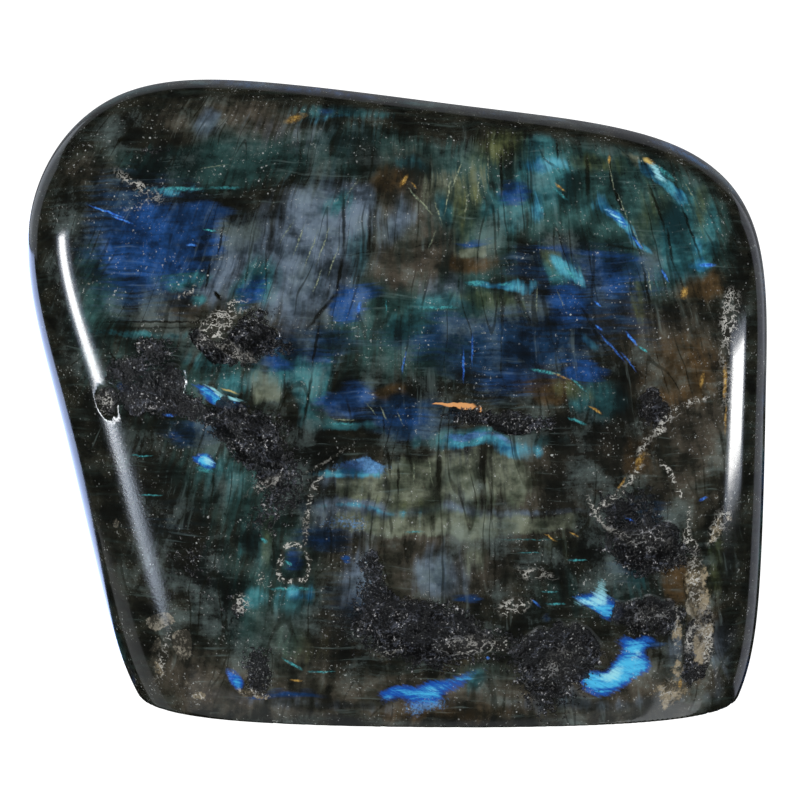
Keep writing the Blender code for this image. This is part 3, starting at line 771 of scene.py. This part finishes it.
def face_frame(stone, shift):
    """The place in the stone, the same in the pattern's frame, and how squarely it faces the view."""
    place = stone.node("ShaderNodeTexCoord", out="Object")
    outward = stone.node("ShaderNodeTexCoord", out="Normal")
    across = FRAME_MIDDLE - UNITS_PER_MM * shift[0]
    down = FRAME_MIDDLE + UNITS_PER_MM * (FRAME_MIDDLE_UP + shift[1] * math.sin(FACE_LEAN))
    scale = UNITS_PER_MM / MM
    values = {
        "Vector": place,
        "Location": (across, down, 0),
        "Rotation": (math.radians(90) + FACE_LEAN, 0, 0),
        "Scale": (scale, scale, scale),
    }
    face = stone.node("ShaderNodeMapping", {"vector_type": "POINT"}, values)
    toward = (0, -math.cos(FACE_LEAN), math.sin(FACE_LEAN))
    facing = stone.vector("DOT_PRODUCT", outward, toward, out="Value")
    return place, face, facing


def stone_textures(stone, face):
    """The textures that run through the stone, and the ruffled places that its fine marks are drawn on."""
    wander = stone.noise(face, (48, 48, 48), 1, 0.5, out="Color")
    ruffle = stone.noise(face, (9, 9, 9), 2, 0.6, out="Color")
    crisp = stone.vector("ADD", face, stone.vector("MULTIPLY_ADD", ruffle, (4, 4, 0), (-2, -2, 0)))
    swayed = stone.vector("MULTIPLY_ADD", wander, (12, 12, 0), face)
    across, down, depth = stone.parts(swayed)
    fan = (across - FAN_ACROSS) / (down + FAN_ABOVE) * FAN_SCALE
    fanned = stone.node("ShaderNodeCombineXYZ", {}, {0: fan, 1: down, 2: depth})
    fibres = stone.noise(fanned, (6, 60, 60), 3, 0.6)
    lamellae = stone.noise(swayed, (54, 4, 60), 3, 0.6)
    wide = stone.noise(fanned, (44, 330, 60), 1, 0.45) - 0.5
    narrow = stone.noise(fanned, (27, 240, 60), 1, 0.45) - 0.5
    splits = stone.spread(wide * wide, 0.00016, 0.00001)
    splits = splits.larger(stone.spread(narrow * narrow, 0.00016, 0.00001))
    mottle = stone.noise(face, (42, 50, 40), 3, 0.55)
    weave = stone.spread(stone.noise(face, (85, 70, 60), 1, 0.5), 0.42, 0.56)
    streak = fibres + (lamellae - fibres) * weave
    slant = stone.noise(stone.turned(face, 28), (26, 2.6, 40), 2, 0.6)
    cloud = stone.noise(face, (30, 26, 30), 3, 0.6)
    grain = stone.noise(face, (2.6, 2.6, 2.6), 2, 0.7)
    strength = {
        "fibres": stone.spread(fibres, 0.28, 0.6, 0.5, 1.0),
        "lamellae": stone.spread(lamellae, 0.28, 0.6, 0.5, 1.0),
        "grain": stone.spread(grain, 0.3, 0.7, 0.6, 1.1, "LINEAR"),
    }
    return SimpleNamespace(
        places={0: crisp},
        fibres=fibres,
        lamellae=lamellae,
        splits=splits,
        mottle=mottle,
        streak=streak,
        slant=slant,
        cloud=cloud,
        grain=grain,
        strength=strength,
    )


def dark_body(stone, run):
    """The stone's dark ground, the same all round."""
    body = stone.mix(stone.spread(run.cloud, 0.35, 0.7), shade(22, 23, 19), shade(46, 46, 38))
    return stone.mix(stone.spread(run.lamellae, 0.45, 0.7, 0, 0.5), body, shade(44, 54, 50))


def side_colour(stone, run, place, rolled, colour):
    """Patches of grey, teal and blue on the sides and the back, where the face has rolled away."""
    blue, grey, teal = stone.parts(stone.noise(place, (0.021, 0.017, 0.013), 2, 0.6, out="Color"))
    ragged = (run.streak - 0.5) * 0.3 + (run.mottle - 0.5) * 0.4
    patches = (
        (grey, 0.54, 0.70, 0.70, (74, 80, 72)),
        (teal, 0.50, 0.68, 0.80, (40, 84, 88)),
        (blue, 0.50, 0.66, 0.85, (26, 58, 104)),
        (blue, 0.62, 0.78, 0.80, (46, 120, 196)),
    )
    for cloud, low, high, most, tone in patches:
        colour = stone.mix(stone.spread(cloud + ragged, low, high, 0, most) * rolled, colour, shade(*tone))
    return colour


def layered(stone, run, colour):
    """The front's soft patches of colour, each in two tones, and the shadows between them."""
    cloudy = stone.spread(run.cloud, 0.36, 0.64)
    for name, low, high, texture, soft, _squareness, _spots in LAYERS:
        ragged = stone.field(name) + (getattr(run, texture) - 0.5) * RAGGED
        cover = stone.spread(ragged, 0.5 - soft, 0.5 + soft) * run.strength[texture]
        colour = stone.mix(cover, colour, shade(*low))
        colour = stone.mix(cover * cloudy, colour, shade(*high))
    shadow = stone.field("dark") + (run.mottle - 0.5) * 1.3 + (run.streak - 0.5) * 0.3
    return stone.mix(stone.spread(shadow, 0.25, 0.95) * 0.8, colour, shade(16, 18, 17))


def veiled(stone, colour, gloom, gleam, splits):
    """A colour under the stone's dark and pale clouds, with its dark splits over them."""
    colour = stone.mix(gleam, stone.mix(gloom, colour, shade(12, 13, 12)), shade(140, 160, 158))
    return stone.mix(splits, colour, shade(18, 18, 9))


def marked(stone, run, colour):
    """The front's cracks and thin lines of colour."""
    colour = stone.mix(marks(stone, run.places, CRACKS, 0.65), colour, shade(16, 16, 10))
    grainy = stone.spread(run.grain, 0.4, 0.6)
    for _name, low, high, soft, spots in LINES:
        cover = marks(stone, run.places, spots, soft) * run.strength["grain"]
        colour = stone.mix(cover, colour, shade(*low))
        colour = stone.mix(cover * grainy, colour, shade(*high))
    return colour


def flashed(stone, run, colour):
    """The bright blue flashes with their pale cores, the gold ones, and a copper-coloured scratch."""
    glow = stone.field("flash") + (run.slant - 0.5) * 0.6 + (run.grain - 0.5) * 0.3
    colour = stone.mix(stone.spread(glow, 0.24, 0.66) * 0.92, colour, shade(26, 84, 176))
    bright = stone.spread(glow + (run.streak - 0.5) * 1.2, 0.46, 1.0)
    colour = stone.mix(bright, colour, shade(76, 186, 232))
    core = stone.field("flash_core") + (run.slant - 0.5) * 1.0 + (run.grain - 0.5) * 0.4
    colour = stone.mix(stone.spread(core, 0.4, 0.95) * 0.9, colour, shade(158, 224, 236))
    colour = stone.mix(marks(stone, run.places, FLASH_GOLD, 0.8), colour, shade(226, 200, 120))
    return stone.mix(marks(stone, run.places, SCRATCH, 0.3), colour, shade(222, 160, 104))


def flaked(stone, run, colour):
    """Pale flat flakes, brighter in clouds."""
    flakes = stone.field("flakes") + (run.grain - 0.5) * 0.2 + (run.mottle - 0.5) * 0.4
    flakes = stone.spread(flakes, 0.46, 0.52)
    colour = stone.mix(flakes * 0.8, colour, shade(54, 52, 46))
    bright = stone.spread(run.cloud + (run.grain - 0.5) * 0.5, 0.42, 0.62)
    return stone.mix(flakes * bright * 0.9, colour, shade(142, 137, 124))


def crumbled(stone, place, facing, front, dust, crumb, colour):
    """Black mica with painted glints and a painted grey sheen, tan crumbs, and white seams with sparse
    painted glints. Also how much mica and how much seam there is at a point.
    """
    mica = stone.field("mica") * stone.spread(facing, 0.5, 0.7)
    mica = mica.larger(stone.field("pocket"))
    mica = stone.spread(mica + (crumb - 0.5) * 1.5 + (dust - 0.5) * 0.5, 0.5, 0.66)
    colour = stone.mix(mica * 0.95, colour, shade(9, 9, 11))
    wire = stone.noise(place, (0.0026, 0.0017, 0.002), 3, 0.62) - 0.5
    clump = stone.noise(place, (0.0034, 0.003, 0.003), 2, 0.5)
    # Painted sheen: bluish grey streaks on the mica where light would catch its ridges.
    painted_ridge_sheen = stone.spread(wire * wire, 0.0009, 0.00003) * stone.spread(clump + dust * 0.6, 0.72, 0.95)
    colour = stone.mix(painted_ridge_sheen * mica * 0.45, colour, shade(90, 96, 112))
    # Painted glints: pale specks on the mica that stand in for light glinting off its flakes.
    painted_glint = stone.spread(dust, 0.57, 0.66) * stone.spread(clump + crumb * 0.8, 0.94, 1.12) * mica
    colour = stone.mix(painted_glint * 0.9, colour, shade(196, 196, 198))
    tan = stone.spread(stone.field("tan") + (crumb - 0.5) * 1.2 + (clump - 0.5) * 1.2, 0.42, 0.7) * front
    colour = stone.mix(tan * 0.85, colour, shade(56, 50, 38))
    tan = tan * stone.spread(crumb * 0.5 + clump * 0.5, 0.44, 0.6)
    colour = stone.mix(tan * 0.85, colour, shade(158, 146, 122))
    seams = stone.spread(stone.field("seams"), 0.15, 0.7) * front
    # Pale seam lines: thin lines of the seam's own pale mineral, with sparse painted glints among them.
    threads_and_glints = stone.spread(wire * wire + (crumb - 0.5) * 0.004, 0.0009, 0.0)
    threads_and_glints = threads_and_glints.larger(stone.spread(dust + crumb, 1.1, 1.22))
    colour = stone.mix(seams * 0.3, colour, shade(60, 58, 52))
    # From here seams holds the pale seam lines together with their painted glints.
    seams = seams * threads_and_glints * stone.spread(clump + crumb * 0.5, 0.62, 0.8, 0.45, 1.0)
    return stone.mix(seams * 0.9, colour, shade(196, 195, 188)), mica, seams


def flecked(stone, run, place, dust, crumb, colour):
    """Pale dust and pinholes: sparse dots, and painted sparkle in clouds, pale specks that stand in for
    glints.
    """
    values = {"Vector": place, "Scale": 900.0, "Randomness": 1.0}
    dots = stone.node("ShaderNodeTexVoronoi", {"feature": "F1"}, values, out="Distance")
    fleck = stone.spread(dots + run.mottle * 0.35 + (crumb - 0.5) * 0.5, 0.26, 0.17)
    fleck = fleck * stone.spread(run.cloud, 0.42, 0.62, 0.2, 0.75)
    # Painted sparkle: pale specks in the clouds that stand in for glints of light.
    sparkle = stone.spread(dust, 0.62, 0.72) * stone.spread(run.cloud + crumb * 0.4, 0.64, 0.84)
    return stone.mix(fleck.larger(sparkle * 0.6), colour, shade(190, 194, 192))


def stone_material(shift):
    """The polished stone: a dark body, the colours that lie in it, and the minerals that break them up."""
    stone = Finish(SLOT)
    place, face, facing = face_frame(stone, shift)
    run = stone_textures(stone, face)
    body = dark_body(stone, run)
    rolled = stone.spread(facing, 0.5, 0.15)
    around = side_colour(stone, run, place, rolled, body)
    colour = layered(stone, run, body)

    veil = run.mottle * 0.6 + run.cloud * 0.24 + run.streak * 0.16 + (run.grain - 0.5) * 0.14
    gloom = stone.spread(veil, 0.54, 0.37, 0.0, 0.66)
    gleam = stone.spread(veil, 0.49, 0.68, 0.0, 0.28)
    hairs = stone.spread(run.streak, 0.58, 0.74, 0.0, 0.16)
    splits = run.splits * stone.spread(run.mottle, 0.38, 0.62) * 0.6
    colour = veiled(stone, colour, gloom, gleam.larger(hairs), splits)
    around = veiled(stone, around, gloom, gleam * rolled, splits * rolled)

    colour = flaked(stone, run, flashed(stone, run, marked(stone, run, colour)))
    front = stone.spread(facing, 0.6, 0.88)
    colour = stone.mix(front, around, colour)
    dust = stone.noise(place, (0.00042, 0.00042, 0.00042), 2, 0.7)
    crumb = stone.noise(place, (0.0009, 0.0009, 0.0009), 3, 0.75)
    # crumbled paints glints and a grey sheen onto the mica and sparse glints along the seams; flecked paints
    # sparkle in clouds.
    colour, mica, seams = crumbled(stone, place, facing, front, dust, crumb, colour)
    colour = flecked(stone, run, place, dust, crumb, colour)

    brushed = stone.field("brushed") * 0.03
    rough = stone.spread(crumb, 0.3, 0.7, 0.075, 0.12, "LINEAR") + mica * 0.2 + seams * 0.3 + brushed
    height = (dust * 0.5 + crumb) * mica + dust * brushed
    bump = stone.node("ShaderNodeBump", {}, {"Strength": 0.7, "Distance": 0.0006, "Height": height})
    polish = {"Roughness": rough, "Normal": bump, "IOR": 1.56, "Specular IOR Level": 0.5}
    shader = stone.node("ShaderNodeBsdfPrincipled", {}, {"Base Color": colour} | polish)
    stone.node("ShaderNodeOutputMaterial", {}, {"Surface": shader})
    return stone.material


def make_stone():
    """The one piece of the object. Gives how far in mm it was moved to stand on the origin."""
    mesh, shift = stone_mesh("polished_stone")
    mesh.materials.append(stone_material(shift))
    stone = bpy.data.objects.new("polished_stone", mesh)
    bpy.context.scene.collection.objects.link(stone)
    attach(stone, "root")
    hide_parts(NODE)
    return shift


def make_camera(shift):
    """The photograph's view: from 14 degrees above the front, with a long lens."""
    target = Vector((shift[0], shift[1], VIEW_TARGET_UP)) * MM
    back = Vector((0, -math.cos(FACE_LEAN), math.sin(FACE_LEAN)))
    data = bpy.data.cameras.new("camera")
    data.lens = LENS
    data.sensor_width = SENSOR
    camera = bpy.data.objects.new("camera", data)
    camera.location = target + back * VIEW_DISTANCE * MM
    camera.rotation_euler = (math.radians(90) - FACE_LEAN, 0, 0)
    bpy.context.scene.collection.objects.link(camera)
    bpy.context.scene.camera = camera


def make_panel(name, top, bottom, width, brightness, colour):
    """A soft studio panel between two points in mm, turned towards the stone. Only polish mirrors it."""
    top = Vector(top) * MM
    bottom = Vector(bottom) * MM
    data = bpy.data.lights.new(name, "AREA")
    data.shape = "RECTANGLE"
    data.size = width * MM
    data.size_y = (top - bottom).length
    data.color = colour
    data.energy = brightness * math.pi * data.size * data.size_y
    panel = bpy.data.objects.new(name, data)
    middle = (top + bottom) / 2
    up = (top - bottom).normalized()
    away = middle - Vector((0, 0, AIM_UP * MM))
    away = (away - up * away.dot(up)).normalized()
    aside = up.cross(away)
    panel.matrix_world = Matrix([(*aside, 0), (*up, 0), (*away, 0), (*middle, 1)]).transposed()
    panel.visible_diffuse = False
    panel.visible_camera = False
    bpy.context.scene.collection.objects.link(panel)


def make_studio():
    """A white floor and a white surround, which the polish doesn't mirror, and the panels that it does."""
    mesh = bpy.data.meshes.new("floor")
    size = FLOOR_HALF
    corners = [(-size, -size, 0), (size, -size, 0), (size, size, 0), (-size, size, 0)]
    mesh.from_pydata(corners, [], [(0, 1, 2, 3)])
    floor = bpy.data.objects.new("floor", mesh)
    floor.location.z = -FLOOR_GAP
    paint = Finish("floor_paint")
    glow = paint.node("ShaderNodeEmission", {}, {"Color": (1, 1, 1, 1), "Strength": LIGHT_LEVEL})
    paint.node("ShaderNodeOutputMaterial", {}, {"Surface": glow})
    mesh.materials.append(paint.material)
    floor.visible_glossy = False
    bpy.context.scene.collection.objects.link(floor)
    world = bpy.data.worlds.new("white_surround")
    world.use_nodes = True
    world.node_tree.nodes["Background"].inputs["Color"].default_value = (1, 1, 1, 1)
    world.node_tree.nodes["Background"].inputs["Strength"].default_value = LIGHT_LEVEL
    world.cycles_visibility.glossy = False
    bpy.context.scene.world = world
    for panel in PANELS:
        make_panel(*panel)


shift = make_stone()
make_camera(shift)
make_studio()
bpy.context.scene.view_settings.view_transform = "Standard"
